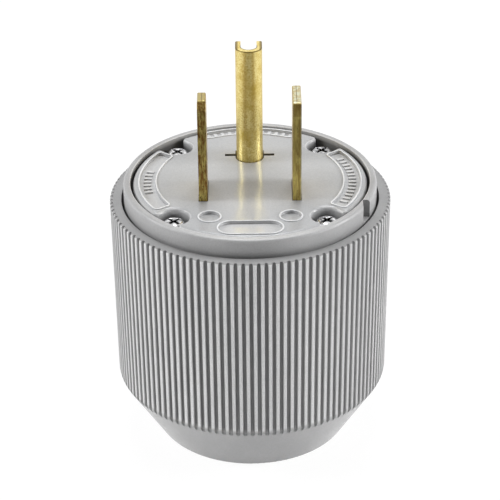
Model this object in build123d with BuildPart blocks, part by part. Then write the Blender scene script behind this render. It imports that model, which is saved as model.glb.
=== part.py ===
# A round 50 A grounding plug that stands on its rear end with its blades up.
# Millimetres, +Z up, origin at the centre of the rear face, the ground pin on the +Y side.
from build123d import *
import math
import os

os.makedirs("parts", exist_ok=True)

# Housing: a ribbed shell with a smooth conical rear
housing_height = 71.6
top_radius = 38.8
shoulder_radius = 38.3
shoulder_height = 17.7
shoulder_round = 2.4
rear_radius = 27.5
rear_wall = 3.0
cone_wall = 3.1
housing_bore = 35.65
bore_start = 22.0
rib_count = 120
groove_depth = 0.8
groove_mouth = 1.2
groove_root = 0.6
edge_round = 0.5
crown_chamfer = 0.4

# Rim and deck of the inner body
rim_clearance = 0.7
rim_radius = housing_bore - rim_clearance
rim_wall = 1.95
rim_proud = 5.1
rim_round = 0.9
rim_chamfer = 0.2
skirt_wall = 2.2
deck_thickness = 8.0
barrier_wall = 1.8
barrier_depth = 18.3
barrier_y = 4.0
notch_width = 5.7
notch_edge_x = 30.4
notch_edge_y = -13.3

# Face cover
cover_clearance = 0.7
cover_drop = 0.4
cover_thickness = 6.0
cover_radius = rim_radius - rim_wall - cover_clearance
lug_angle = -27.5
lug_width = 4.4
lug_reach = 0.55
lip_round = 1.1
mouth_round = 1.2

# Heights that the parts above share
rim_top = housing_height + rim_proud
face_z = rim_top - cover_drop
deck_top = face_z - cover_thickness
deck_bottom = deck_top - deck_thickness
skirt_foot = deck_bottom - barrier_depth

# Assembly screws and their bosses
screw_edge = 3.3
screw_circle = cover_radius - screw_edge
screw_start = 45
screw_count = 4
screw_radius = 2.1
screw_clearance = 0.3
screw_hole = screw_radius + screw_clearance
screw_head_radius = 3.1
screw_head_height = 3.5
screw_head_round = 1.3
screw_length = 37.0
cross_reach = 2.1
cross_width = 1.0
cross_depth = 1.7
cross_taper = 12
recess_radius = 4.2
recess_floor = 1.0
boss_radius = 5.2
boss_web = 6.0
tube_radius = 4.6
nut_width = 7.0
nut_thickness = 3.0
nut_clearance = 0.15
nut_cover = 5.0

# Blades and ground pin
blade_spacing = 25.4
blade_y = -6.3
blade_width = 11.9
blade_thickness = 2.3
blade_length = 29.0
blade_shoulder_width = 15.5
blade_shoulder_height = 2.4
blade_reach = 12.8
blade_foot = deck_bottom - blade_reach
bevel_side = 0.25
bevel_height = 0.35
front_corner = 0.4
right_back_corner = 0.9
left_back_corner = 4.6
pin_y = 13.9
pin_radius = 3.7
pin_wall = 1.5
pin_leg = 3.5
pin_length = 33.8
pin_chamfer = 0.25
ear_span = 13.6
ear_thickness = 1.0
ear_y = 15.0
ear_foot = 2.4
ear_drop = 1.6
fit_gap = 0.15

# Box terminals
frame_height = 11.0
frame_drop = 2.0
terminal_height = deck_bottom - frame_drop - frame_height / 2
frame_wall = 2.0
frame_gap = 0.2
wire_space = 5.0
plate_thickness = 1.6
plate_travel = 1.4
terminal_screw_radius = 3.0
terminal_head_radius = 4.0
terminal_head_height = 3.4
terminal_head_gap = 1.5
driver_hole = 4.6
slot_width = 1.2
slot_depth = 1.5

# Cord entry and cord clamp
entry_radius = 12.0
entry_chamfer = 1.0
jaw_length = 36.0
jaw_height = 10.6
jaw_depth = 13.4
jaw_gap = 4.0
jaw_groove = 10.0
jaw_clearance = 0.3
tooth_height = 1.0
tooth_angle = 50
tooth_pitch = 3.2
guide_wall = 1.8
clamp_screw_x = 14.4
clamp_screw_radius = 2.0
clamp_head_radius = 3.6
clamp_head_height = 2.6
clamp_clearance = 0.25
clamp_hole = clamp_screw_radius + clamp_clearance
access_clearance = 0.7
access_radius = clamp_head_radius + access_clearance

# Marked areas of the face, left bare or with plain bars
panel_depth = 0.7
bead_width = 0.45
bead_height = 0.3
panel_corner = 0.9
bar_width = 0.9
bar_height = 0.4
bar_margin = 1.1
bar_step = 4.0
side_inner = 26.1
side_outer = 30.4
side_half = 33.5
left_side_angle = 180
left_bars = 7
right_bars = 14
top_inner = 28.1
top_outer = 31.2
top_half = 25.0
top_angle = 90
top_bars = 5
top_bars_start = 7.0
oval_width = 17.0
oval_height = 6.6
oval_y = -27.2
mark_radius = 2.8
mark_x = 10.9
mark_y = -21.1


def write(part, name):
    """Label a finished piece and write it as its own file."""
    part.label = name
    export_step(part, f"parts/{name}.step")


def cone_radius(height):
    """Outer radius of the conical rear at a height."""
    return rear_radius + (shoulder_radius - rear_radius) * height / shoulder_height


# One rib groove: it follows the housing's draft and runs out on the cone
draft_angle = math.atan2(top_radius - shoulder_radius, housing_height - shoulder_height)
cone_slope = (shoulder_radius - rear_radius) / shoulder_height
groove_over = 1.0
groove_flare = (groove_mouth - groove_root) / (2 * groove_depth)
groove_outer = groove_mouth / 2 + groove_over * groove_flare
groove_run = housing_height - shoulder_height + groove_depth / cone_slope + 2 * groove_over
groove_plane = Plane(
    origin=(top_radius + groove_over * math.sin(draft_angle), 0, housing_height + groove_over),
    x_dir=(math.cos(draft_angle), 0, -math.sin(draft_angle)),
    z_dir=(-math.sin(draft_angle), 0, -math.cos(draft_angle)),
)
with BuildPart() as groove:
    with BuildSketch(groove_plane):
        with BuildLine():
            Polyline(
                (-groove_depth, -groove_root / 2),
                (groove_over, -groove_outer),
                (groove_over, groove_outer),
                (-groove_depth, groove_root / 2),
                close=True,
            )
        make_face()
    extrude(amount=groove_run + groove_over)

# Cavity of the housing, which leaves the screw bosses and the clamp's guides standing
guide_x = jaw_length / 2 + jaw_clearance
guide_back = -(jaw_gap / 2 + jaw_depth + jaw_clearance)
jaw_floor = rear_wall + jaw_clearance
jaw_middle = jaw_floor + jaw_height / 2
with BuildPart() as cavity:
    with BuildSketch(Plane.XZ):
        with BuildLine():
            Polyline(
                (0, rear_wall),
                (cone_radius(rear_wall) - cone_wall, rear_wall),
                (shoulder_radius - cone_wall, shoulder_height),
                (housing_bore, bore_start),
                (housing_bore, housing_height),
                (0, housing_height),
                close=True,
            )
        make_face()
    revolve(axis=Axis.Z)
    with BuildSketch(Plane.XY.offset(rear_wall)):
        with PolarLocations(screw_circle, screw_count, start_angle=screw_start):
            Circle(boss_radius)
            Rectangle(rim_radius - screw_circle + boss_web, boss_web, align=(Align.MIN, Align.CENTER))
    extrude(amount=skirt_foot - rear_wall, mode=Mode.SUBTRACT)
    with BuildSketch(Plane.XY.offset(rear_wall)):
        with Locations((guide_x, guide_back), (-guide_x - guide_wall, guide_back)):
            Rectangle(guide_wall, -2 * guide_back, align=(Align.MIN, Align.MIN))
        with Locations((0, guide_back)):
            Rectangle(2 * (guide_x + guide_wall), guide_wall, align=(Align.CENTER, Align.MAX))
    extrude(amount=jaw_height + jaw_clearance, mode=Mode.SUBTRACT)

# Housing
nut_floor = deck_top + recess_floor - screw_length + nut_cover
with BuildPart() as housing:
    with BuildSketch(Plane.XZ) as outline:
        with BuildLine():
            Polyline(
                (0, 0),
                (rear_radius, 0),
                (shoulder_radius, shoulder_height),
                (top_radius, housing_height),
                (0, housing_height),
                close=True,
            )
        make_face()
        fillet(outline.vertices().sort_by(Axis.X)[-2], shoulder_round)
        fillet(outline.vertices().sort_by(Axis.Y)[:2].sort_by(Axis.X)[-1], edge_round)
        chamfer(outline.vertices().group_by(Axis.Y)[-1].sort_by(Axis.X)[-1], crown_chamfer)
    revolve(axis=Axis.Z)
    add(cavity.part, mode=Mode.SUBTRACT)
    with BuildSketch():
        Circle(entry_radius)
    extrude(amount=rear_wall, mode=Mode.SUBTRACT)
    chamfer(housing.edges().filter_by(GeomType.CIRCLE).group_by(Axis.Z)[0].sort_by(SortBy.RADIUS)[0],
            entry_chamfer)
    with BuildSketch(Plane.XY.offset(nut_floor - nut_cover)):
        with PolarLocations(screw_circle, screw_count, start_angle=screw_start):
            Circle(screw_hole)
    extrude(amount=skirt_foot - nut_floor + nut_cover, mode=Mode.SUBTRACT)
    with BuildSketch(Plane.XY.offset(nut_floor)):
        with PolarLocations(screw_circle, screw_count, start_angle=screw_start):
            with Locations((nut_width / 2 + nut_clearance, 0)):
                Rectangle(nut_width + 2 * boss_radius, nut_width + 2 * nut_clearance,
                          align=(Align.MAX, Align.CENTER))
    extrude(amount=nut_thickness + nut_clearance, mode=Mode.SUBTRACT)
    with BuildSketch(Plane.XZ.offset(-(jaw_gap / 2 + jaw_depth))):
        with Locations((clamp_screw_x, jaw_middle), (-clamp_screw_x, jaw_middle)):
            Circle(access_radius)
    extrude(amount=-top_radius, mode=Mode.SUBTRACT)
    with PolarLocations(0, rib_count):
        add(groove.part, mode=Mode.SUBTRACT)
write(housing.part, "housing")


def pin_outline(gap):
    """U section of the ground pin, grown by a gap, open towards the back."""
    with Locations((0, pin_y)):
        Circle(pin_radius + gap)
        Rectangle(2 * (pin_radius + gap), pin_radius + 2 * gap, align=(Align.CENTER, Align.MIN),
                  mode=Mode.SUBTRACT)
        Rectangle(2 * (pin_radius + gap), pin_leg + gap, align=(Align.CENTER, Align.MIN))
        Circle(pin_radius - pin_wall - gap, mode=Mode.SUBTRACT)
        Rectangle(2 * (pin_radius - pin_wall - gap), pin_leg + 2 * gap, align=(Align.CENTER, Align.MIN),
                  mode=Mode.SUBTRACT)


def pin_hole(gap):
    """Plain hole that the whole ground pin fits."""
    with Locations((0, pin_y)):
        Circle(pin_radius + gap)
        Rectangle(2 * (pin_radius + gap), pin_leg + gap, align=(Align.CENTER, Align.MIN))


# Inner body: deck, notched rim, skirt, barriers between the terminals and screw tubes
skirt_bore = rim_radius - skirt_wall
blade_places = ((blade_spacing / 2, blade_y), (-blade_spacing / 2, blade_y))
with BuildPart() as terminal_body:
    with BuildSketch(Plane.XY.offset(skirt_foot)):
        Circle(rim_radius)
    extrude(amount=rim_top - skirt_foot)
    with BuildSketch(Plane.XY.offset(deck_top)):
        Circle(rim_radius - rim_wall)
    extrude(amount=rim_top - deck_top, mode=Mode.SUBTRACT)
    top_edges = terminal_body.edges().group_by(Axis.Z)[-1].sort_by(SortBy.RADIUS)
    fillet(top_edges[-1], rim_round)
    chamfer(terminal_body.edges().group_by(Axis.Z)[-1].sort_by(SortBy.RADIUS)[0], rim_chamfer)
    with BuildSketch(Plane.XY.offset(skirt_foot)):
        Circle(skirt_bore)
        with Locations((0, barrier_y)):
            Rectangle(2 * rim_radius, barrier_wall, mode=Mode.SUBTRACT)
            Rectangle(barrier_wall, 2 * rim_radius, align=(Align.CENTER, Align.MAX), mode=Mode.SUBTRACT)
        with PolarLocations(screw_circle, screw_count, start_angle=screw_start):
            Circle(tube_radius, mode=Mode.SUBTRACT)
    extrude(amount=deck_bottom - skirt_foot, mode=Mode.SUBTRACT)
    with BuildSketch(Plane.XY.offset(skirt_foot)):
        with PolarLocations(screw_circle, screw_count, start_angle=screw_start):
            Circle(screw_hole)
        with Locations(*blade_places):
            Rectangle(blade_thickness + 2 * fit_gap, blade_width + 2 * fit_gap)
        pin_hole(fit_gap)
    extrude(amount=deck_top - skirt_foot, mode=Mode.SUBTRACT)
    with BuildSketch(Plane.XY.offset(deck_top - blade_shoulder_height - fit_gap)):
        with Locations(*blade_places):
            Rectangle(blade_thickness + 2 * fit_gap, blade_shoulder_width + 2 * fit_gap)
    extrude(amount=blade_shoulder_height + fit_gap, mode=Mode.SUBTRACT)
    with BuildSketch(Plane.XY.offset(deck_top - ear_foot - fit_gap)):
        with Locations((0, ear_y)):
            Rectangle(ear_span + 2 * fit_gap, ear_thickness + 2 * fit_gap)
    extrude(amount=ear_foot + fit_gap, mode=Mode.SUBTRACT)
    with BuildSketch(Plane.XY.offset(housing_height)):
        with Locations((notch_edge_x, notch_edge_y)):
            Rectangle(notch_width, notch_width, align=(Align.MIN, Align.MAX))
    extrude(amount=rim_proud, mode=Mode.SUBTRACT)
    with BuildSketch(Plane.YZ):
        with Locations((blade_y, terminal_height)):
            Circle(driver_hole)
    extrude(amount=rim_radius, both=True, mode=Mode.SUBTRACT)
    with BuildSketch(Plane.XZ.offset(-pin_y)):
        with Locations((0, terminal_height)):
            Circle(driver_hole)
    extrude(amount=-rim_radius, mode=Mode.SUBTRACT)
write(terminal_body.part, "terminal_body")


def panel(inner, outer, start, end):
    """Sector between two radii with rounded corners, for a BuildSketch."""
    with BuildSketch(mode=Mode.PRIVATE) as sector:
        with BuildLine():
            CenterArc((0, 0), outer, start, end - start)
            CenterArc((0, 0), inner, start, end - start)
            Line(Vector(inner, 0).rotate(Axis.Z, start), Vector(outer, 0).rotate(Axis.Z, start))
            Line(Vector(inner, 0).rotate(Axis.Z, end), Vector(outer, 0).rotate(Axis.Z, end))
        make_face()
        fillet(sector.vertices(), panel_corner)
    return sector.sketch


# Marked areas of the face: three arcs, an oval and two rounds
with BuildSketch() as marked:
    add(panel(side_inner, side_outer, left_side_angle - side_half, left_side_angle + side_half))
    add(panel(side_inner, side_outer, -side_half, side_half))
    add(panel(top_inner, top_outer, top_angle - top_half, top_angle + top_half))
    with Locations((0, oval_y)):
        SlotOverall(oval_width, oval_height)
    with Locations((mark_x, mark_y), (-mark_x, mark_y)):
        Circle(mark_radius)

# Face cover: a thin disc with a thick plate on it, whose recesses open at its edge
with BuildSketch() as plate_outline:
    Circle(cover_radius)
    with PolarLocations(screw_circle, screw_count, start_angle=screw_start):
        Circle(recess_radius, mode=Mode.SUBTRACT)
        Rectangle(2 * screw_edge, 2 * recess_radius, align=(Align.MIN, Align.CENTER), mode=Mode.SUBTRACT)
    mouth_corners = ShapeList(
        v for v in plate_outline.vertices() if math.hypot(v.X, v.Y) > cover_radius - fit_gap
    )
    fillet(mouth_corners, mouth_round)
with BuildPart() as face_cover:
    with BuildSketch(Plane.XY.offset(deck_top)):
        Circle(cover_radius)
    extrude(amount=recess_floor)
    with BuildSketch(Plane.XY.offset(deck_top)):
        add(plate_outline.sketch)
    extrude(amount=cover_thickness)
    fillet(face_cover.edges().group_by(Axis.Z)[-1], lip_round)
    with BuildSketch(Plane.XY.offset(deck_top)):
        with PolarLocations(cover_radius, 1, start_angle=lug_angle):
            Rectangle(2 * lug_reach, lug_width)
    extrude(amount=cover_thickness - lip_round)
    with BuildSketch(Plane.XY.offset(deck_top)):
        with PolarLocations(screw_circle, screw_count, start_angle=screw_start):
            Circle(screw_hole)
        with Locations(*blade_places):
            Rectangle(blade_thickness + 2 * fit_gap, blade_width + 2 * fit_gap)
        pin_hole(2 * fit_gap)
        with Locations((0, ear_y)):
            Rectangle(ear_span + 2 * fit_gap, ear_thickness + 2 * fit_gap)
    extrude(amount=cover_thickness, mode=Mode.SUBTRACT)
    with BuildSketch(Plane.XY.offset(face_z - bead_height)):
        add(marked.sketch)
        offset(amount=bead_width)
    extrude(amount=2 * bead_height)
    with BuildSketch(Plane.XY.offset(face_z - panel_depth)):
        add(marked.sketch)
    extrude(amount=panel_depth + bead_height, mode=Mode.SUBTRACT)
    with BuildSketch(Plane.XY.offset(face_z - panel_depth)):
        side_middle = (side_outer + side_inner) / 2
        top_middle = (top_outer + top_inner) / 2
        left_span = bar_step * (left_bars - 1)
        right_span = bar_step * (right_bars - 1)
        top_span = bar_step * (top_bars - 1)
        left_first = left_side_angle - left_span / 2
        with PolarLocations(side_middle, left_bars, left_first, left_span, endpoint=True):
            Rectangle(side_outer - side_inner - 2 * bar_margin, bar_width)
        with PolarLocations(side_middle, right_bars, -right_span / 2, right_span, endpoint=True):
            Rectangle(side_outer - side_inner - 2 * bar_margin, bar_width)
        for first in (top_angle + top_bars_start, top_angle - top_bars_start - top_span):
            with PolarLocations(top_middle, top_bars, first, top_span, endpoint=True):
                Rectangle(top_outer - top_inner - bar_margin, bar_width)
    extrude(amount=bar_height)
write(face_cover.part, "face_cover")


def make_blade(x, back_corner):
    """Flat blade with shoulders under the cover and a bevelled tip, cut more at its back corner."""
    tip = face_z + blade_length
    shoulder = deck_top - blade_shoulder_height
    half = blade_width / 2
    wide = blade_shoulder_width / 2
    with BuildPart() as blade:
        with BuildSketch(Plane.YZ.offset(x - blade_thickness / 2)):
            with BuildLine():
                Polyline(
                    (-half, blade_foot),
                    (-half, shoulder),
                    (-wide, shoulder),
                    (-wide, deck_top),
                    (-half, deck_top),
                    (-half, tip - front_corner),
                    (front_corner - half, tip),
                    (half - back_corner, tip),
                    (half, tip - back_corner),
                    (half, deck_top),
                    (wide, deck_top),
                    (wide, shoulder),
                    (half, shoulder),
                    (half, blade_foot),
                    close=True,
                )
            make_face()
        extrude(amount=blade_thickness)
        tip_edges = blade.edges().group_by(Axis.Z)[-1].filter_by(Axis.Y)
        tip_face = blade.faces().sort_by(Axis.Z)[-1]
        chamfer(tip_edges, bevel_side, bevel_height, reference=tip_face)
    return blade.part.moved(Location((0, blade_y, 0)))


write(make_blade(-blade_spacing / 2, left_back_corner), "blade_left")
write(make_blade(blade_spacing / 2, right_back_corner), "blade_right")

# Ground pin: a U section with two ears that stand in the cover's slits
pin_tip = face_z + pin_length
with BuildPart() as ground_pin:
    with BuildSketch(Plane.XY.offset(blade_foot)):
        pin_outline(0)
    extrude(amount=pin_tip - blade_foot)
    inner_half = pin_radius - pin_wall
    outer_edges = ShapeList(
        e for e in ground_pin.edges().group_by(Axis.Z)[-1]
        if abs(e.center().X) > inner_half + pin_wall / 2 or e.center().Y < pin_y - inner_half - pin_wall / 2
    )
    chamfer(outer_edges, pin_chamfer)
    with BuildSketch(Plane.XY.offset(deck_top - ear_foot)):
        with Locations((0, ear_y)):
            Rectangle(ear_span, ear_thickness)
            Rectangle(2 * inner_half + pin_wall, ear_thickness, mode=Mode.SUBTRACT)
    extrude(amount=ear_foot + cover_thickness - ear_drop)
write(ground_pin.part, "ground_pin")


def make_terminal(name, place, depth, width):
    """Box terminal on a conductor: frame, pressure plate and screw.

    The place's x axis points from the conductor's inner face to the screw.
    """
    frame_end = depth + wire_space + plate_thickness + plate_travel
    plate_face = depth + wire_space
    inside = width + 2 * frame_gap
    with BuildPart() as frame:
        with BuildSketch(place.offset(-frame_height / 2)):
            with Locations((-frame_gap - frame_wall, 0)):
                Rectangle(frame_end + frame_gap + 2 * frame_wall, inside + 2 * frame_wall,
                          align=(Align.MIN, Align.CENTER))
            with Locations((-frame_gap, 0)):
                Rectangle(frame_end + frame_gap, inside, align=(Align.MIN, Align.CENTER), mode=Mode.SUBTRACT)
        extrude(amount=frame_height)
        fillet(frame.edges().filter_by(Axis.Z), frame_gap)
        axis_plane = Plane(origin=place.from_local_coords((0, 0, 0)), x_dir=place.y_dir, z_dir=place.x_dir)
        with BuildSketch(axis_plane.offset(depth)):
            Circle(terminal_screw_radius + fit_gap)
        extrude(amount=frame_end + frame_wall, mode=Mode.SUBTRACT)
    write(frame.part, f"terminal_frame_{name}")
    with BuildPart() as plate:
        with BuildSketch(place.offset(-frame_height / 2 + frame_gap)):
            with Locations((plate_face, 0)):
                Rectangle(plate_thickness, inside - 2 * frame_gap, align=(Align.MIN, Align.CENTER))
        extrude(amount=frame_height - 2 * frame_gap)
    write(plate.part, f"pressure_plate_{name}")
    screw_start_x = plate_face + plate_thickness
    head_start = frame_end + frame_wall + terminal_head_gap
    with BuildPart() as screw:
        with BuildSketch(axis_plane.offset(screw_start_x)):
            Circle(terminal_screw_radius)
        extrude(amount=head_start - screw_start_x)
        with BuildSketch(axis_plane.offset(head_start)):
            Circle(terminal_head_radius)
        extrude(amount=terminal_head_height)
        with BuildSketch(axis_plane.offset(head_start + terminal_head_height - slot_depth)):
            Rectangle(2 * terminal_head_radius, slot_width)
        extrude(amount=slot_depth, mode=Mode.SUBTRACT)
    write(screw.part, f"terminal_screw_{name}")


blade_inner = (blade_spacing - blade_thickness) / 2
make_terminal("left", Plane(origin=(-blade_inner, blade_y, terminal_height), x_dir=(-1, 0, 0)),
              blade_thickness, blade_width)
make_terminal("right", Plane(origin=(blade_inner, blade_y, terminal_height), x_dir=(1, 0, 0)),
              blade_thickness, blade_width)
make_terminal("ground", Plane(origin=(0, pin_y - pin_radius, terminal_height), x_dir=(0, 1, 0)),
              pin_radius + pin_leg, 2 * pin_radius)


def cross_recess(reach, width):
    """Cross-shaped driver recess, for a BuildSketch."""
    Rectangle(2 * reach, width)
    Rectangle(width, 2 * reach)


# Assembly screws: pan heads in the cover's recesses, one node of four solids
head_floor = deck_top + recess_floor
with BuildPart() as one_screw:
    with BuildSketch(Plane.XY.offset(head_floor - screw_length)):
        Circle(screw_radius)
    extrude(amount=screw_length)
    with BuildSketch(Plane.XY.offset(head_floor)):
        Circle(screw_head_radius)
    extrude(amount=screw_head_height)
    fillet(one_screw.edges().group_by(Axis.Z)[-1], screw_head_round)
    with BuildSketch(Plane.XY.offset(head_floor + screw_head_height)):
        cross_recess(cross_reach, cross_width)
    extrude(amount=-cross_depth, taper=cross_taper, mode=Mode.SUBTRACT)
with BuildPart() as assembly_screws:
    with PolarLocations(screw_circle, screw_count, start_angle=screw_start):
        add(one_screw.part)
write(assembly_screws.part, "assembly_screws")

# Square nuts in the bosses
with BuildPart() as assembly_nuts:
    with BuildSketch(Plane.XY.offset(nut_floor)):
        with PolarLocations(screw_circle, screw_count, start_angle=screw_start):
            Rectangle(nut_width, nut_width)
            Circle(screw_radius + nut_clearance, mode=Mode.SUBTRACT)
    extrude(amount=nut_thickness)
write(assembly_nuts.part, "assembly_nuts")


# Cord clamp: two grooved jaws, drawn together by two screws
def jaw_block():
    """The jaw on the +Y side, with a toothed half-round groove."""
    tooth_half = tooth_height * math.tan(math.radians(tooth_angle))
    with BuildPart() as jaw:
        with BuildSketch(Plane.XY.offset(jaw_floor)):
            with Locations((0, jaw_gap / 2)):
                Rectangle(jaw_length, jaw_depth, align=(Align.CENTER, Align.MIN))
        extrude(amount=jaw_height)
        fillet(jaw.edges().filter_by(Axis.Z), edge_round)
        with BuildSketch(Plane.XZ):
            with Locations((jaw_groove / 2, jaw_middle)):
                Rectangle(jaw_groove, jaw_height)
            with Locations((jaw_groove, jaw_middle - tooth_pitch), (jaw_groove, jaw_middle),
                           (jaw_groove, jaw_middle + tooth_pitch)):
                Polygon((-tooth_height, 0), (0, tooth_half), (0, -tooth_half), align=None,
                        mode=Mode.SUBTRACT)
        revolve(axis=Axis.Z, mode=Mode.SUBTRACT)
        with BuildSketch(Plane.XZ):
            with Locations((clamp_screw_x, jaw_middle), (-clamp_screw_x, jaw_middle)):
                Circle(clamp_hole)
        extrude(amount=-top_radius, mode=Mode.SUBTRACT)
    return jaw


moving_jaw = jaw_block()
write(moving_jaw.part, "cord_clamp_moving_jaw")
jaw_back = jaw_gap / 2 + jaw_depth
with BuildPart() as fixed_jaw:
    add(mirror(moving_jaw.part, about=Plane.XZ, mode=Mode.PRIVATE))
    with BuildSketch(Plane.XZ.offset(jaw_back)):
        with Locations((clamp_screw_x, jaw_middle), (-clamp_screw_x, jaw_middle)):
            Rectangle(nut_width + 2 * nut_clearance, nut_width + 2 * nut_clearance)
    extrude(amount=-nut_thickness - nut_clearance, mode=Mode.SUBTRACT)
write(fixed_jaw.part, "cord_clamp_fixed_jaw")

with BuildPart() as clamp_nuts:
    with BuildSketch(Plane.XZ.offset(jaw_back)):
        with Locations((clamp_screw_x, jaw_middle), (-clamp_screw_x, jaw_middle)):
            Rectangle(nut_width, nut_width)
            Circle(clamp_screw_radius + nut_clearance, mode=Mode.SUBTRACT)
    extrude(amount=-nut_thickness)
write(clamp_nuts.part, "cord_clamp_nuts")

with BuildPart() as clamp_screws:
    with BuildSketch(Plane.XZ.offset(-jaw_back)):
        with Locations((clamp_screw_x, jaw_middle), (-clamp_screw_x, jaw_middle)):
            Circle(clamp_screw_radius)
    extrude(amount=2 * jaw_back)
    with BuildSketch(Plane.XZ.offset(-jaw_back)):
        with Locations((clamp_screw_x, jaw_middle), (-clamp_screw_x, jaw_middle)):
            Circle(clamp_head_radius)
    extrude(amount=-clamp_head_height)
    with BuildSketch(Plane.XZ.offset(-jaw_back - clamp_head_height)):
        with Locations((clamp_screw_x, jaw_middle), (-clamp_screw_x, jaw_middle)):
            Rectangle(2 * clamp_head_radius, slot_width)
    extrude(amount=slot_depth, mode=Mode.SUBTRACT)
write(clamp_screws.part, "cord_clamp_screws")
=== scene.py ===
import math

import bmesh
import bpy
from mathutils import Matrix, Vector


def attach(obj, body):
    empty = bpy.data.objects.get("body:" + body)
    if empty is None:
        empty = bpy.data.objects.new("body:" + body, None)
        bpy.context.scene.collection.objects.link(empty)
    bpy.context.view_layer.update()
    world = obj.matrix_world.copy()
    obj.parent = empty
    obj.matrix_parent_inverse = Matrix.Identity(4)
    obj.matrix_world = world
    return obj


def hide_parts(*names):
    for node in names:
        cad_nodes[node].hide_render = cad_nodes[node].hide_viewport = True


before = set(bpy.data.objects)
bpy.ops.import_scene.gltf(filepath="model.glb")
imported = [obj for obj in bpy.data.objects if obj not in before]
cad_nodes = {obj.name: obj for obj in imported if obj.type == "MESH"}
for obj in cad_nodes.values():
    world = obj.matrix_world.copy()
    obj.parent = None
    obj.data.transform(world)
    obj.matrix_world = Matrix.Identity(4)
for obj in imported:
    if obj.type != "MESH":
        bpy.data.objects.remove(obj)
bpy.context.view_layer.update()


# Housing: the outer shell, injection moulded in grey nylon with 120 drafted grip
# ribs and a smooth conical rear. The ribs' tops carry a painted highlight and their
# grooves painted shade, both strongest towards the front, and the front of the cone
# carries painted shade. The ribs' edges are slightly rounded, as they leave the mould.
housing_grey = (0.350, 0.350, 0.352, 1)
housing_flow_grey = (0.315, 0.315, 0.318, 1)
housing_dullness = (0.40, 0.52)
nylon_refraction = 1.53
smear_fade = (0.3, 0.7)
rear_radius = 0.0275
rib_foot_radius = 0.0383
rib_foot_height = 0.0177
rib_top_radius = 0.0388
rib_run_out = 0.0017
rib_reach_in = 0.00112
rib_edge_round = 0.00013
groove_depth = 0.0008
ridge_fade = (0.12 * groove_depth, 0.35 * groove_depth)
ridge_front_fade = (-0.037, -0.016)
ridge_paleness = 2.10
side_paleness = 0.38
groove_fade = (0.35 * groove_depth, 0.85 * groove_depth)
groove_front_fade = (-0.037, -0.018)
groove_shade = 0.56
side_shade = 0.25
wall_fade = (1.5 * groove_depth, 2 * groove_depth)
painted_light_turn = math.radians(12)
cone_fade = (rib_foot_height - 0.0006, rib_foot_height + 0.0006)
cone_front_fade = (-0.030, 0.0)
cone_front_shade = 0.86
cone_smoothness = 0.5
cone_tolerance = 0.0005
slope_tolerance = 0.05
same_place = 0.000001
sliver_width = 0.000002
flat_angle = math.radians(0.5)
smooth_angle = math.radians(40)
white = (1, 1, 1, 1)


def corners_of(node_name):
    """The low and the high corner of a CAD piece, in metres."""
    box = cad_nodes[node_name].bound_box
    return Vector(box[0]), Vector(box[6])


def new_paint(name):
    """A new material, its node tree and its skin."""
    paint = bpy.data.materials.new(name)
    paint.use_nodes = True
    return paint, paint.node_tree, paint.node_tree.nodes["Principled BSDF"]


def object_place(tree):
    """The place on a piece that its patterns are laid out from."""
    return tree.nodes.new("ShaderNodeTexCoord").outputs["Object"]


def stretched(tree, place, x, y, z):
    """A place whose patterns are drawn out along one way."""
    mapping = tree.nodes.new("ShaderNodeMapping")
    mapping.inputs["Scale"].default_value = (x, y, z)
    tree.links.new(place, mapping.inputs["Vector"])
    return mapping.outputs["Vector"]


def cloud(tree, place, per_metre, detail):
    """A cloudy pattern, so many blotches to the metre."""
    pattern = tree.nodes.new("ShaderNodeTexNoise")
    pattern.inputs["Scale"].default_value = per_metre
    pattern.inputs["Detail"].default_value = detail
    tree.links.new(place, pattern.inputs["Vector"])
    return pattern.outputs["Fac"]


def between(tree, value, low, high, at_low, at_high):
    """A value carried over from one range to another, and held at its ends."""
    change = tree.nodes.new("ShaderNodeMapRange")
    change.inputs["From Min"].default_value = low
    change.inputs["From Max"].default_value = high
    change.inputs["To Min"].default_value = at_low
    change.inputs["To Max"].default_value = at_high
    tree.links.new(value, change.inputs["Value"])
    return change.outputs["Result"]


def rising(tree, value, start, end, top=1):
    """Nothing up to the start, and the top from the end on."""
    return between(tree, value, start, end, 0, top)


def falling(tree, value, start, end, foot=0):
    """All up to the start, and the foot from the end on."""
    return between(tree, value, start, end, 1, foot)


def sum_up(tree, kind, first, second):
    """One step of arithmetic on two values, either of which may be a plain number."""
    step = tree.nodes.new("ShaderNodeMath")
    step.operation = kind
    for socket, value in zip(step.inputs, (first, second)):
        if isinstance(value, (int, float)):
            socket.default_value = value
        else:
            tree.links.new(value, socket)
    return step.outputs["Value"]


def both(tree, first, second):
    """Where two amounts hold at once."""
    return sum_up(tree, "MULTIPLY", first, second)


def distance_from(tree, x, y):
    """How far a place is from an upright line, given its two distances from it."""
    squares = sum_up(tree, "ADD", sum_up(tree, "MULTIPLY", x, x), sum_up(tree, "MULTIPLY", y, y))
    return sum_up(tree, "SQRT", squares, 0.0)


def within(tree, value, start, full, last_full, end):
    """All inside a band of values, and nothing outside it."""
    return both(tree, rising(tree, value, start, full), falling(tree, value, last_full, end))


def place_parts(tree, place):
    """The place's three coordinates, each by itself."""
    parts = tree.nodes.new("ShaderNodeSeparateXYZ")
    tree.links.new(place, parts.inputs[0])
    return parts.outputs


def blended(tree, amount, colour_a, colour_b, kind="MIX"):
    """Two colours laid over one another by an amount."""
    mix = tree.nodes.new("ShaderNodeMix")
    mix.data_type = "RGBA"
    mix.blend_type = kind
    for socket, value in ((mix.inputs[0], amount), (mix.inputs[6], colour_a), (mix.inputs[7], colour_b)):
        if isinstance(value, (int, float, tuple)):
            socket.default_value = value
        else:
            tree.links.new(value, socket)
    return mix.outputs[2]


def toned(tree, skin, base, amount, factor):
    """The base colour made lighter or darker by a factor, where an amount says so."""
    tone = blended(tree, amount, white, (factor, factor, factor, 1))
    base = blended(tree, 1.0, base, tone, "MULTIPLY")
    tree.links.new(base, skin.inputs["Base Color"])
    return base


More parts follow.
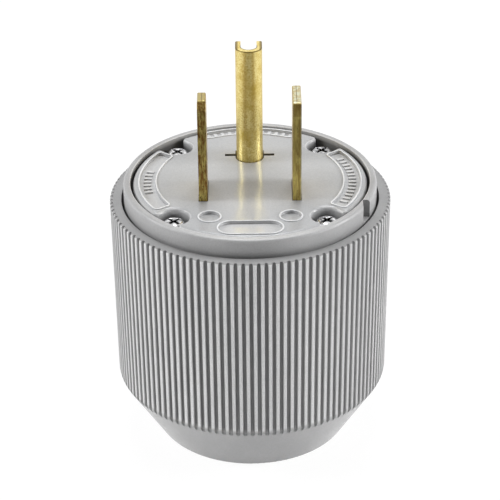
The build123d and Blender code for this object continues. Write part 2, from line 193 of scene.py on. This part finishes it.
def raised(tree, skin, height, strength, depth):
    """Bumps on a skin, from a pattern of heights."""
    bump = tree.nodes.new("ShaderNodeBump")
    bump.inputs["Strength"].default_value = strength
    bump.inputs["Distance"].default_value = depth
    tree.links.new(height, bump.inputs["Height"])
    tree.links.new(bump.outputs["Normal"], skin.inputs["Normal"])


def mould_pebble(tree, place):
    """The fine grain that the mould's face leaves on nylon."""
    return cloud(tree, place, per_metre=3800, detail=2)


def moulded_nylon(name, colour, flow_colour, dullness):
    """Grey nylon as it leaves the mould: faint flow marks, a fine pebble and a satin skin."""
    paint, tree, skin = new_paint(name)
    place = object_place(tree)
    flow_marks = cloud(tree, stretched(tree, place, 1, 1, 0.4), per_metre=90, detail=4)
    base = blended(tree, rising(tree, flow_marks, start=0.35, end=0.68), colour, flow_colour)
    specks = cloud(tree, place, per_metre=2600, detail=2)
    speck = between(tree, specks, low=0.30, high=0.62, at_low=0.90, at_high=1.0)
    tone = tree.nodes.new("ShaderNodeCombineColor")
    for channel in tone.inputs:
        tree.links.new(speck, channel)
    base = blended(tree, 1.0, base, tone.outputs["Color"], "MULTIPLY")
    tree.links.new(base, skin.inputs["Base Color"])
    smears = cloud(tree, place, per_metre=420, detail=3)
    tree.links.new(between(tree, smears, *smear_fade, *dullness), skin.inputs["Roughness"])
    skin.inputs["IOR"].default_value = nylon_refraction
    raised(tree, skin, mould_pebble(tree, place), strength=0.25, depth=0.00003)
    return paint, tree, skin, place, base


rib_top_height = corners_of("housing")[1].z
housing_paint, tree, skin, place, base = moulded_nylon(
    "housing_satin_nylon", housing_grey, housing_flow_grey, housing_dullness)
x, y, z = place_parts(tree, place)
rib_radius = between(tree, z, rib_foot_height, rib_top_height, rib_foot_radius, rib_top_radius)
sunk = sum_up(tree, "SUBTRACT", rib_radius, distance_from(tree, x, y))
rib_start = (rib_foot_height, rib_foot_height + 0.0012)
rib_end = (rib_top_height - 0.00015, rib_top_height - 0.00005)
on_ribs = both(tree, within(tree, z, *rib_start, *rib_end), falling(tree, sunk, *wall_fade))
# Painted highlight on the rib tops, strongest towards the front and a little to the left.
turned_y = sum_up(tree, "MULTIPLY", y, math.cos(painted_light_turn))
turned_x = sum_up(tree, "MULTIPLY", x, math.sin(painted_light_turn))
from_front = sum_up(tree, "ADD", turned_y, turned_x)
ridge_highlight_by_side = falling(tree, from_front, *ridge_front_fade, foot=side_paleness)
painted_ridge_highlight = both(tree, falling(tree, sunk, *ridge_fade), ridge_highlight_by_side)
base = toned(tree, skin, base, both(tree, painted_ridge_highlight, on_ribs), ridge_paleness)
# Painted shade in the grooves, strongest towards the front and a little to the left.
groove_dark = falling(tree, from_front, *groove_front_fade, foot=side_shade)
in_groove = both(tree, rising(tree, sunk, *groove_fade), groove_dark)
base = toned(tree, skin, base, both(tree, in_groove, on_ribs), groove_shade)
# Painted shade on the front of the cone.
front_cone = both(tree, falling(tree, z, *cone_fade), falling(tree, from_front, *cone_front_fade))
base = toned(tree, skin, base, front_cone, cone_front_shade)
dull = skin.inputs["Roughness"].links[0].from_socket
smoother = between(tree, z, *cone_fade, cone_smoothness, 1)
tree.links.new(both(tree, dull, smoother), skin.inputs["Roughness"])


def dressed(node_name, paint):
    """Gives a CAD piece its finish, and leaves its shape alone."""
    piece = cad_nodes[node_name]
    piece.data.materials.clear()
    piece.data.materials.append(paint)


def copied(node_name, name):
    """A merged copy of a CAD piece, left in edit mode with nothing selected."""
    copy = cad_nodes[node_name].copy()
    copy.data = cad_nodes[node_name].data.copy()
    copy.name = name
    bpy.context.scene.collection.objects.link(copy)
    bpy.ops.object.select_all(action="DESELECT")
    copy.select_set(True)
    bpy.context.view_layer.objects.active = copy
    bpy.ops.mesh.customdata_custom_splitnormals_clear()
    bpy.ops.object.mode_set(mode="EDIT")
    bpy.ops.mesh.select_all(action="SELECT")
    bpy.ops.mesh.remove_doubles(threshold=same_place)
    bpy.ops.mesh.dissolve_limited(angle_limit=flat_angle)
    bpy.ops.mesh.select_mode(type="EDGE")
    bpy.ops.mesh.select_all(action="DESELECT")
    return copy


def edges_rounded(piece, width, sharper_than, wanted):
    """Rounds the sharp edges of a copy in edit mode, where both ends are at a wanted place."""
    mesh = bmesh.from_edit_mesh(piece.data)
    for edge in mesh.edges:
        sharp = edge.calc_face_angle(0) > math.radians(sharper_than)
        edge.select_set(sharp and all(wanted(corner.co) for corner in edge.verts))
    bmesh.update_edit_mesh(piece.data)
    bpy.ops.mesh.bevel(offset=width, offset_type="OFFSET", segments=2, clamp_overlap=True)
    bpy.ops.mesh.select_all(action="SELECT")
    bpy.ops.mesh.dissolve_degenerate(threshold=sliver_width)
    bpy.ops.mesh.remove_doubles(threshold=sliver_width)


def smoothed(piece):
    """Smooth shading across soft edges, with flat faces kept flat."""
    bpy.ops.object.shade_smooth_by_angle(angle=smooth_angle)
    bpy.ops.object.modifier_add(type="WEIGHTED_NORMAL")
    piece.modifiers[-1].keep_sharp = True
    bpy.ops.object.modifier_apply(modifier=piece.modifiers[-1].name)


def stands_in(piece, node_name, paint):
    """Finishes a copy, which takes the place of its CAD piece in the picture."""
    bpy.ops.object.mode_set(mode="OBJECT")
    smoothed(piece)
    piece.data.materials.clear()
    piece.data.materials.append(paint)
    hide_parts(node_name)
    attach(piece, "root")


def on_rib_part(corner):
    """Whether a corner is on a rib or on its run-out over the cone."""
    outermost = corner.xy.length > rib_foot_radius - rib_reach_in
    return outermost and corner.z > rib_foot_height - rib_run_out


def cone_shaded(piece):
    """Gives the smooth cone the even shading of a true cone, up to the ribs' ends."""
    mesh = piece.data
    steepness = (rib_foot_radius - rear_radius) / rib_foot_height
    shading = [corner.vector.copy() for corner in mesh.corner_normals]
    for face in mesh.polygons:
        cone_radius = rear_radius + steepness * face.center.z
        outwards = face.center.xy.length > cone_radius - cone_tolerance
        sideways = max(face.normal.xy.length, slope_tolerance)
        sloped = abs(face.normal.z / sideways + steepness) < slope_tolerance
        if face.center.z < rib_foot_height and outwards and sloped:
            for corner in face.loop_indices:
                place = mesh.vertices[mesh.loops[corner].vertex_index].co
                shading[corner] = Vector((place.x, place.y, -steepness * place.xy.length)).normalized()
    mesh.normals_split_custom_set(shading)


dressed("housing", housing_paint)
rounded_housing = copied("housing", "housing_rounded")
edges_rounded(rounded_housing, rib_edge_round, sharper_than=40, wanted=on_rib_part)
stands_in(rounded_housing, "housing", housing_paint)
cone_shaded(rounded_housing)


# Inner body: one grey nylon moulding whose deck carries the blades and whose rim
# is the notched collar round the face. It is clamped in the housing by four screws.
body_grey = (0.440, 0.440, 0.443, 1)
body_flow_grey = (0.405, 0.405, 0.408, 1)
body_dullness = (0.34, 0.46)
rim_height = corners_of("terminal_body")[1].z
rim_inner_radius = 0.0330
rim_top_fade = (-0.00030, -0.00022)
rim_edge_fade = (0.00022, 0.00030)
rim_edge_paleness = 1.5
rim_front_fade = (-0.034, -0.022)
rim_front_paleness = 1.3
inner_wall_fade = (0.0001, 0.0003)
inner_wall_depth_fade = (-0.0018, -0.0006)
inner_wall_shade = 0.35
notch_end_y = -0.0133
notch_end_fade = (0.00003, 0.00006)
notch_inner_x = 0.0304
notch_inner_fade = (-0.0001, 0.0)
notch_shade = 0.45


def beyond(tree, value, mark):
    """How far a value lies past a mark, and less than nothing before it."""
    return sum_up(tree, "SUBTRACT", value, mark)


def away_from(tree, value, mark):
    """How far a value lies from a mark, on either side."""
    return sum_up(tree, "ABSOLUTE", beyond(tree, value, mark), 0.0)


body_paint, tree, skin, place, base = moulded_nylon(
    "body_satin_nylon", body_grey, body_flow_grey, body_dullness)
x, y, z = place_parts(tree, place)
over_rim = beyond(tree, z, rim_height)
past_inner_wall = beyond(tree, distance_from(tree, x, y), rim_inner_radius)
# Painted highlights on the rim's top, along its inner edge and more at its front.
near_top = rising(tree, over_rim, *rim_top_fade)
on_inner_edge = both(tree, near_top, falling(tree, past_inner_wall, *rim_edge_fade))
base = toned(tree, skin, base, on_inner_edge, rim_edge_paleness)
front_rim_highlight = both(tree, near_top, falling(tree, y, *rim_front_fade))
base = toned(tree, skin, base, front_rim_highlight, rim_front_paleness)
# Painted shade on the deep part of the rim's inner wall, seen in the screw recesses.
facing_in = falling(tree, past_inner_wall, *inner_wall_fade)
deep = falling(tree, over_rim, *inner_wall_depth_fade)
base = toned(tree, skin, base, both(tree, facing_in, deep), inner_wall_shade)
# Painted shade on the end face of the notch.
on_notch_end = falling(tree, away_from(tree, y, notch_end_y), *notch_end_fade)
past_notch_inside = rising(tree, beyond(tree, x, notch_inner_x), *notch_inner_fade)
base = toned(tree, skin, base, both(tree, on_notch_end, past_notch_inside), notch_shade)
dressed("terminal_body", body_paint)


# Face cover: a grey nylon plate moulded against a polished steel face, so it is
# glossier than the rest and shows the brass standing on it. Its beads, bars and
# recess lips carry painted highlights, its panel floors painted light, its slits and
# screw recesses painted shade, and the four screws hold it down.
cover_grey = (0.490, 0.494, 0.501, 1)
cover_flow_grey = (0.460, 0.464, 0.471, 1)
cover_dullness = (0.12, 0.20)
cover_shine = 0.40
cool_shine = (0.74, 0.84, 1.0, 1)
cover_high = corners_of("face_cover")[1]
bead_height = 0.0003
face_height = cover_high.z - bead_height
bead_fade = (0.00004, 0.00016)
bead_paleness = 1.7
bead_round = 0.00010
bead_top_slack = 0.00005
panel_depth = 0.0007
panel_paleness = 1.08
bar_height = 0.0004
bar_paleness = 1.25
level_fade = (0.00004, 0.00010)
face_fade = (-0.00010, -0.00004)
slit_y = 0.0150
slit_half_fade = (0.0007, 0.0008)
slit_end_fade = (0.0075, 0.0080)
slit_depth_fade = (-0.0003, -0.0001)
slit_shade = 0.20
recess_fade = (-0.0026, -0.0012)
recess_shade = 0.60
lip_band = (-0.00115, -0.00100, -0.00018, -0.00006)
lip_radius_fade = (0.0240, 0.0244)
lip_paleness = 1.12
pebble_height = 0.004
wave_depth = 0.0004
cover_paint, tree, skin, place, base = moulded_nylon(
    "cover_semi_gloss_nylon", cover_grey, cover_flow_grey, cover_dullness)
x, y, z = place_parts(tree, place)
over_face = beyond(tree, z, face_height)
# Painted highlights on the beads and bars, and painted light on the panel floors.
base = toned(tree, skin, base, rising(tree, over_face, *bead_fade), bead_paleness)
from_bar_top = away_from(tree, over_face, bar_height - panel_depth)
base = toned(tree, skin, base, falling(tree, from_bar_top, *level_fade), bar_paleness)
from_panel = away_from(tree, over_face, -panel_depth)
base = toned(tree, skin, base, falling(tree, from_panel, *level_fade), panel_paleness)
# Painted shade inside the slits.
across_slit = falling(tree, away_from(tree, y, slit_y), *slit_half_fade)
along_slit = falling(tree, away_from(tree, x, 0.0), *slit_end_fade)
down_slit = falling(tree, over_face, *slit_depth_fade)
in_slit = both(tree, both(tree, across_slit, along_slit), down_slit)
base = toned(tree, skin, base, in_slit, slit_shade)
# Painted shade down in the screw recesses.
base = toned(tree, skin, base, falling(tree, over_face, *recess_fade), recess_shade)
# Painted highlight on the lips round the screw recesses.
off_middle = rising(tree, distance_from(tree, x, y), *lip_radius_fade)
on_lip = both(tree, within(tree, over_face, *lip_band), off_middle)
base = toned(tree, skin, base, on_lip, lip_paleness)
skin.inputs["Specular IOR Level"].default_value = cover_shine
on_face = rising(tree, over_face, *face_fade)
tree.links.new(blended(tree, on_face, white, cool_shine), skin.inputs["Specular Tint"])
waves = cloud(tree, stretched(tree, place, 1, 0.6, 1), per_metre=115, detail=1)
pebble = sum_up(tree, "MULTIPLY", mould_pebble(tree, place), pebble_height)
raised(tree, skin, sum_up(tree, "ADD", waves, pebble), strength=1.0, depth=wave_depth)


def on_bead_top(corner):
    """Whether a corner is on the top of a bead."""
    return corner.z > cover_high.z - bead_top_slack


dressed("face_cover", cover_paint)
beaded_cover = copied("face_cover", "face_cover_beaded")
edges_rounded(beaded_cover, bead_round, sharper_than=40, wanted=on_bead_top)
stands_in(beaded_cover, "face_cover", cover_paint)


# Blades: flat brass strip, cut to length, so the wide sides are smooth and the
# narrow edges are sheared, darker and a little torn along their length. The tips
# are coloured in patches, the left one a darker gold and the right one pale as a
# painted highlight that also runs along the right corner of its edges. The left
# one's front top corner is worn off by use.
blade_gold = (0.56, 0.43, 0.16, 1)
blade_tarnish = (0.30, 0.20, 0.07, 1)
blade_dullness = (0.28, 0.46)
marks_fade = (0.3, 1.5)
speckle_height = 0.9
edge_brown = (0.24, 0.13, 0.035, 1)
edge_gold = (0.66, 0.54, 0.17, 1)
edge_grime = (0.10, 0.06, 0.02, 1)
cut_brown = (0.13, 0.07, 0.02, 1)
seam_brown = (0.16, 0.11, 0.04, 1)
tip_gold = (0.66, 0.66, 0.48, 1)
worn_tip_gold = (0.42, 0.36, 0.15, 1)
blade_low, blade_high = corners_of("blade_right")
blade_middle = (blade_low + blade_high) / 2
blade_half_width = 0.00595
blade_edge_round = 0.00012
left_corner_cut = 0.0022
cut_y = blade_middle.y - blade_half_width + left_corner_cut
cut_fade = (-0.00030, -0.00020)
cut_darkening = 0.6
middle_fade = (-0.001, 0.001)
edge_fade = (-0.00010, -0.00004)
right_edge_goldness = 0.36
left_strip_fade = (-0.0004, -0.0002)
left_strip_goldness = 0.35
right_strip_fade = (-0.0004, -0.0001)
right_strip_highlight = 0.55
below_tip_fade = (-0.0042, -0.0038)
below_tip_stain = 0.50
tip_fade = (-0.00020, -0.00010)
seam_from_middle = 0.0001
seam_fade = (0.00005, 0.00011)


def either(tree, first, second):
    """Where one of two amounts holds."""
    return sum_up(tree, "MAXIMUM", first, second)


def drawn_brass(name, gold, tarnish, dullness):
    """Brass with faint lines along its length and cloudy patches of tarnish."""
    paint, tree, skin = new_paint(name)
    skin.inputs["Metallic"].default_value = 1.0
    place = object_place(tree)
    patches = rising(tree, cloud(tree, place, per_metre=330, detail=6), start=0.45, end=0.72, top=0.7)
    fine = rising(tree, cloud(tree, place, per_metre=2300, detail=4), start=0.42, end=0.70, top=0.75)
    base = blended(tree, patches, gold, tarnish)
    base = blended(tree, fine, base, tarnish)
    tree.links.new(base, skin.inputs["Base Color"])
    lines = cloud(tree, stretched(tree, place, 1, 1, 0.03), per_metre=4200, detail=3)
    marks = sum_up(tree, "ADD", lines, patches)
    tree.links.new(between(tree, marks, *marks_fade, *dullness), skin.inputs["Roughness"])
    relief = sum_up(tree, "ADD", lines, sum_up(tree, "MULTIPLY", fine, speckle_height))
    raised(tree, skin, relief, strength=0.30, depth=0.00003)
    return paint, tree, skin, place, base


blade_paint, tree, skin, place, base = drawn_brass(
    "blade_brass", blade_gold, blade_tarnish, blade_dullness)
x, y, z = place_parts(tree, place)
over_tip = beyond(tree, z, blade_high.z)
on_right = rising(tree, x, *middle_fade)
on_left = falling(tree, x, *middle_fade)
torn = cloud(tree, stretched(tree, place, 1, 1, 0.20), per_metre=1900, detail=5)
sheared = blended(tree, rising(tree, torn, start=0.42, end=0.64), edge_brown, edge_gold)
pits = cloud(tree, stretched(tree, place, 1, 1, 0.45), per_metre=2600, detail=3)
sheared = blended(tree, rising(tree, pits, start=0.58, end=0.66, top=0.8), sheared, edge_grime)
# The right blade's edges are painted a paler gold than the left one's.
sheared = blended(tree, both(tree, on_right, right_edge_goldness), sheared, edge_gold)
left_strip = falling(tree, beyond(tree, x, blade_middle.x), *left_strip_fade)
left_strip = both(tree, both(tree, on_right, left_strip), left_strip_goldness)
sheared = blended(tree, left_strip, sheared, edge_gold)
# Painted highlight along the right corner of the right blade's edges.
right_strip = rising(tree, beyond(tree, x, blade_high.x), *right_strip_fade, top=right_strip_highlight)
sheared = blended(tree, right_strip, sheared, tip_gold)
below_right_tip = both(tree, on_right, rising(tree, over_tip, *below_tip_fade, top=below_tip_stain))
sheared = blended(tree, below_right_tip, sheared, edge_brown)
# The left blade's cut corner is painted dark brown.
from_cut = beyond(tree, sum_up(tree, "SUBTRACT", z, y), blade_high.z - cut_y)
on_cut = both(tree, rising(tree, from_cut, *cut_fade), on_left)
sheared = blended(tree, both(tree, on_cut, cut_darkening), sheared, cut_brown)
past_edge = beyond(tree, away_from(tree, y, blade_middle.y), blade_half_width)
on_edge = either(tree, rising(tree, past_edge, *edge_fade), on_cut)
base = blended(tree, on_edge, base, sheared)
# Patchy tip colour: a darker gold on the left tip, and a pale painted highlight on the right tip.
at_tip = rising(tree, over_tip, *tip_fade)
tip_patches = falling(tree, cloud(tree, place, per_metre=900, detail=3), start=0.42, end=0.55, foot=0.35)
worn_tip_and_highlight_gold = blended(tree, on_right, worn_tip_gold, tip_gold)
base = blended(tree, both(tree, at_tip, tip_patches), base, worn_tip_and_highlight_gold)
from_seam = away_from(tree, away_from(tree, x, 0.0), blade_middle.x - seam_from_middle)
on_seam = both(tree, falling(tree, from_seam, *seam_fade), at_tip)
base = blended(tree, on_seam, base, seam_brown)
tree.links.new(base, skin.inputs["Base Color"])


def above_cover(corner):
    """Whether a corner stands proud of the face."""
    return corner.z > face_height


dressed("blade_left", blade_paint)
dressed("blade_right", blade_paint)
worn_left_blade = copied("blade_left", "blade_left_worn")
bpy.ops.mesh.select_all(action="SELECT")
cut_place = (0, cut_y, blade_high.z)
bpy.ops.mesh.bisect(plane_co=cut_place, plane_no=(0, -1, 1), use_fill=True, clear_outer=True)
bpy.ops.mesh.select_all(action="DESELECT")
edges_rounded(worn_left_blade, blade_edge_round, sharper_than=25, wanted=above_cover)
stands_in(worn_left_blade, "blade_left", blade_paint)
worn_right_blade = copied("blade_right", "blade_right_worn")
edges_rounded(worn_right_blade, blade_edge_round, sharper_than=25, wanted=above_cover)
stands_in(worn_right_blade, "blade_right", blade_paint)


# Ground pin: brass strip rolled to a U section, so its round side is bright from
# the rolling and carries faint lines along its length. Its chamfered end and its
# inner edge are dark with burr, and its two ears lie dark in the slits.
pin_gold = (0.86, 0.73, 0.32, 1)
pin_tarnish = (0.54, 0.38, 0.06, 1)
pin_dullness = (0.33, 0.48)
pin_burr = (0.16, 0.11, 0.03, 1)
ear_shade_black = (0.03, 0.025, 0.02, 1)
pin_low, pin_high = corners_of("ground_pin")
pin_half = 0.0037
pin_inner_half = 0.0022
pin_middle_y = pin_low.y + pin_half
side_fade = (-0.0004, -0.0001)
side_tarnish = 0.45
chamfer_band = (-0.00035, -0.00025, -0.00010, -0.00004)
leg_end_fade = (-0.0006, -0.0004)
leg_side_fade = (-0.0009, -0.0005)
leg_burr = 0.8
inner_end_fade = (-0.0002, -0.0001)
inner_edge_fade = (0.00015, 0.00030)
ear_fade = (0.0003, 0.0004)
pin_paint, tree, skin, place, base = drawn_brass("pin_brass", pin_gold, pin_tarnish, pin_dullness)
x, y, z = place_parts(tree, place)
over_tip = beyond(tree, z, pin_high.z)
past_side = beyond(tree, away_from(tree, x, 0.0), pin_half)
base = blended(tree, rising(tree, past_side, *side_fade, top=side_tarnish), base, pin_tarnish)
on_chamfer = within(tree, over_tip, *chamfer_band)
leg_side = rising(tree, past_side, *leg_side_fade, top=leg_burr)
at_leg_end = both(tree, rising(tree, over_tip, *leg_end_fade), leg_side)
from_bend = distance_from(tree, x, beyond(tree, y, pin_middle_y))
inside_edge = falling(tree, beyond(tree, from_bend, pin_inner_half), *inner_edge_fade)
at_inner_edge = both(tree, rising(tree, over_tip, *inner_end_fade), inside_edge)
burred = either(tree, either(tree, on_chamfer, at_leg_end), at_inner_edge)
base = blended(tree, burred, base, pin_burr)
# Painted shade: the ears in the slits are painted nearly black.
base = blended(tree, rising(tree, past_side, *ear_fade), base, ear_shade_black)
tree.links.new(base, skin.inputs["Base Color"])
dressed("ground_pin", pin_paint)


# Hidden screws and nuts: zinc plated steel that is never handled, so its bright
# skin has only dulled in patches. The square nuts sit in pockets of the nylon.
plate_bright = (0.74, 0.74, 0.75, 1)
plate_dull = (0.52, 0.52, 0.54, 1)


def plated_steel(name, bright, dull_colour):
    """Plated steel: a bright skin with small dull patches."""
    paint, tree, skin = new_paint(name)
    skin.inputs["Metallic"].default_value = 1.0
    place = object_place(tree)
    patches = rising(tree, cloud(tree, place, per_metre=700, detail=4), start=0.40, end=0.66)
    base = blended(tree, patches, bright, dull_colour)
    tree.links.new(base, skin.inputs["Base Color"])
    roughness = between(tree, patches, low=0, high=1, at_low=0.16, at_high=0.34)
    tree.links.new(roughness, skin.inputs["Roughness"])
    raised(tree, skin, cloud(tree, place, per_metre=2600, detail=3), strength=0.2, depth=0.00002)
    return paint, tree, skin, place, base


steel_paint = plated_steel("zinc_plated_steel", plate_bright, plate_dull)[0]
for node_name in ("assembly_nuts", "cord_clamp_screws", "cord_clamp_nuts"):
    dressed(node_name, steel_paint)


# Assembly screws: four plated pan heads at the bottom of the recesses, which clamp
# cover, body and housing together. Their cross recesses carry painted shade, and
# the dark patches on their bright plate are painted reflections.
head_bright = (0.86, 0.86, 0.87, 1)
head_dark_reflection = (0.14, 0.14, 0.145, 1)
head_top = corners_of("assembly_screws")[1].z
head_side = 0.0012
head_edge_round = 0.00008
screw_from_edge = 0.0033
screw_axis = (cover_high.x - screw_from_edge) * math.cos(math.radians(45))
cross_radius_fade = (0.0022, 0.0023)
cross_depth_fade = (-0.00045, -0.00020)
cross_shade = 0.10
# The dark patches on the bright heads are painted reflections.
screw_paint, tree, skin, place, base = plated_steel("plated_steel_painted_reflections", head_bright, head_dark_reflection)
x, y, z = place_parts(tree, place)
# Painted shade down in the cross recesses.
from_axis_x = beyond(tree, away_from(tree, x, 0.0), screw_axis)
from_axis_y = beyond(tree, away_from(tree, y, 0.0), screw_axis)
near_axis = falling(tree, distance_from(tree, from_axis_x, from_axis_y), *cross_radius_fade)
below_top = falling(tree, beyond(tree, z, head_top), *cross_depth_fade)
base = toned(tree, skin, base, both(tree, near_axis, below_top), cross_shade)


def on_head(corner):
    """Whether a corner is on the upper part of a head."""
    return corner.z > head_top - head_side


dressed("assembly_screws", screw_paint)
rounded_screws = copied("assembly_screws", "assembly_screws_rounded")
edges_rounded(rounded_screws, head_edge_round, sharper_than=40, wanted=on_head)
stands_in(rounded_screws, "assembly_screws", screw_paint)


# Terminals: box frames and pressure plates folded and cut from brass, each drawn
# together by a brass screw. The ground's screw is dyed green, so that it is known.
terminal_gold = (0.60, 0.46, 0.18, 1)
terminal_tarnish = (0.42, 0.30, 0.10, 1)
terminal_dullness = (0.26, 0.42)
green_bright = (0.05, 0.30, 0.10, 1)
green_dull = (0.03, 0.20, 0.07, 1)
terminal_paint = drawn_brass("terminal_brass", terminal_gold, terminal_tarnish, terminal_dullness)[0]
green_paint = plated_steel("green_dyed_screw", green_bright, green_dull)[0]
for side in ("left", "right", "ground"):
    dressed(f"terminal_frame_{side}", terminal_paint)
    dressed(f"pressure_plate_{side}", terminal_paint)
    dressed(f"terminal_screw_{side}", green_paint if side == "ground" else terminal_paint)


# Cord clamp: two grooved nylon jaws, moulded in a darker grey that never shows.
# They slide in the housing's rear, and two screws draw them onto the cord.
clamp_grey = (0.20, 0.20, 0.205, 1)
clamp_flow_grey = (0.16, 0.16, 0.165, 1)
clamp_dullness = (0.42, 0.55)
clamp_paint = moulded_nylon("clamp_nylon", clamp_grey, clamp_flow_grey, clamp_dullness)[0]
dressed("cord_clamp_fixed_jaw", clamp_paint)
dressed("cord_clamp_moving_jaw", clamp_paint)


# Surroundings: a white tent of cloth round the table. The camera and the brass see
# it at its full white, while it lights the plug only a little.
shown_level = 0.90
surround_light = 0.12


def seen_or_mirrored(tree):
    """1 where the camera, a mirror or a glass sees the surface, 0 for plain light."""
    path = tree.nodes.new("ShaderNodeLightPath")
    seen = either(tree, path.outputs["Is Camera Ray"], path.outputs["Is Glossy Ray"])
    return either(tree, seen, path.outputs["Is Transmission Ray"])


surround = bpy.data.worlds.new("white_surround")
bpy.context.scene.world = surround
surround.use_nodes = True
tree = surround.node_tree
tree.nodes.clear()
shown_white = tree.nodes.new("ShaderNodeBackground")
shown_white.inputs["Color"].default_value = white
soft_light = tree.nodes.new("ShaderNodeBackground")
soft_light.inputs["Color"].default_value = white
soft_light.inputs["Strength"].default_value = surround_light
choice = tree.nodes.new("ShaderNodeMixShader")
surround_out = tree.nodes.new("ShaderNodeOutputWorld")
tree.links.new(seen_or_mirrored(tree), choice.inputs[0])
tree.links.new(soft_light.outputs[0], choice.inputs[1])
tree.links.new(shown_white.outputs[0], choice.inputs[2])
tree.links.new(choice.outputs[0], surround_out.inputs[0])


# Table: a white sheet that is lit from below, so that the plug's shadow hardly
# shows and the sheet melts into the surroundings.
table_size = 6.0
table_white = (0.9, 0.9, 0.9, 1)
table_dullness = 0.9
table_glow = 0.44
bpy.ops.object.select_all(action="DESELECT")
bpy.ops.mesh.primitive_plane_add(size=table_size, location=(0, 0, 0))
floor = bpy.context.object
floor.name = "studio_floor"
floor_paint, tree, lit_floor = new_paint("white_floor")
lit_floor.inputs["Base Color"].default_value = table_white
lit_floor.inputs["Roughness"].default_value = table_dullness
lit_floor.inputs["Emission Color"].default_value = white
lit_floor.inputs["Emission Strength"].default_value = table_glow
white_floor = tree.nodes.new("ShaderNodeEmission")
floor_choice = tree.nodes.new("ShaderNodeMixShader")
shown_part = sum_up(tree, "MULTIPLY", seen_or_mirrored(tree), shown_level)
tree.links.new(shown_part, floor_choice.inputs[0])
tree.links.new(lit_floor.outputs[0], floor_choice.inputs[1])
tree.links.new(white_floor.outputs[0], floor_choice.inputs[2])
tree.links.new(floor_choice.outputs[0], tree.nodes["Material Output"].inputs[0])
floor.data.materials.append(floor_paint)


# Card and wall: a card on the table in front of the plug, dark in its middle and
# white at its sides, and the unlit wall behind the camera. Only the plug's shine
# shows them, and they keep it low on the side towards the camera.
card_place = (0, -0.20, 0.0005)
card_size = (0.34, 0.28, 1)
card_fade = (0.04, 0.48)
card_dark = 0.09
wall_place = (0, -0.9, 1.15)
wall_size = (1.3, 2.2, 1)
wall_grey = (0.12, 0.12, 0.12, 1)
wall_dullness = 0.9


def mirrored_sheet(name, place, turn, size, paint):
    """A sheet that the plug's shine shows, but no camera, plain light or shadow."""
    bpy.ops.mesh.primitive_plane_add(size=1, location=place, rotation=(turn, 0, 0))
    sheet = bpy.context.object
    sheet.name = name
    sheet.scale = size
    sheet.visible_camera = False
    sheet.visible_diffuse = False
    sheet.visible_shadow = False
    sheet.data.materials.append(paint)
    return sheet


card_paint, tree = new_paint("black_card")[:2]
shown_card = tree.nodes.new("ShaderNodeEmission")
from_card_middle = away_from(tree, place_parts(tree, object_place(tree))[0], 0.0)
card_light = between(tree, from_card_middle, *card_fade, card_dark, shown_level)
tree.links.new(card_light, shown_card.inputs["Strength"])
tree.links.new(shown_card.outputs[0], tree.nodes["Material Output"].inputs[0])
dark_card = mirrored_sheet("dark_card", card_place, 0, card_size, card_paint)

wall_paint, tree, wall_skin = new_paint("unlit_room_wall")
wall_skin.inputs["Base Color"].default_value = wall_grey
wall_skin.inputs["Roughness"].default_value = wall_dullness
dark_wall = mirrored_sheet("dark_wall", wall_place, math.radians(90), wall_size, wall_paint)


# Lamps: square soft boxes, one on either side of the plug a little in front of it
# and one overhead, all aimed at its middle.
lamp_target = Vector((0, 0, 0.05))
side_lamp_size = 0.35
overhead_lamp_size = 0.5
left_place = (-0.95, -0.06, 0.56)
right_place = (0.95, -0.06, 0.42)
overhead_place = (0, 0.30, 1.1)
left_power = 6.2
right_power = 6.9
overhead_power = 6.8


def soft_lamp(name, place, size, power):
    """A square soft lamp that faces the plug."""
    lamp_data = bpy.data.lights.new(name, "AREA")
    lamp_data.size = size
    lamp_data.energy = power
    lamp = bpy.data.objects.new(name, lamp_data)
    bpy.context.scene.collection.objects.link(lamp)
    lamp.location = place
    lamp.rotation_euler = (lamp_target - Vector(place)).to_track_quat("-Z", "Y").to_euler()


soft_lamp("left_lamp", left_place, side_lamp_size, left_power)
soft_lamp("right_lamp", right_place, side_lamp_size, right_power)
soft_lamp("overhead_lamp", overhead_place, overhead_lamp_size, overhead_power)


# Camera: a long lens about 30 degrees above the table, with the plug's axis
# leaning a little to the left in its picture. The lens is given in the pixels of
# a square picture.
camera_rise = math.radians(29.8)
camera_lean = math.radians(0.62)
camera_distance = 0.575
camera_target = Vector((-0.0002, 0.0, 0.0539))
camera_near = 0.01
lens_pixels = 2045.0
picture_pixels = 500.0
sensor_width = 36.0
backwards = Vector((0, -math.cos(camera_rise), math.sin(camera_rise)))
level_right = Vector((1, 0, 0))
level_up = backwards.cross(level_right)
camera_right = level_right * math.cos(camera_lean) - level_up * math.sin(camera_lean)
camera_up = level_right * math.sin(camera_lean) + level_up * math.cos(camera_lean)
lens = bpy.data.cameras.new("studio_camera")
lens.sensor_width = sensor_width
lens.lens = sensor_width * lens_pixels / picture_pixels
lens.clip_start = camera_near
camera = bpy.data.objects.new("studio_camera", lens)
bpy.context.scene.collection.objects.link(camera)
facing = Matrix((camera_right, camera_up, backwards)).transposed().to_4x4()
camera.matrix_world = Matrix.Translation(camera_target + backwards * camera_distance) @ facing
bpy.context.scene.camera = camera
bpy.context.scene.view_settings.view_transform = "Standard"
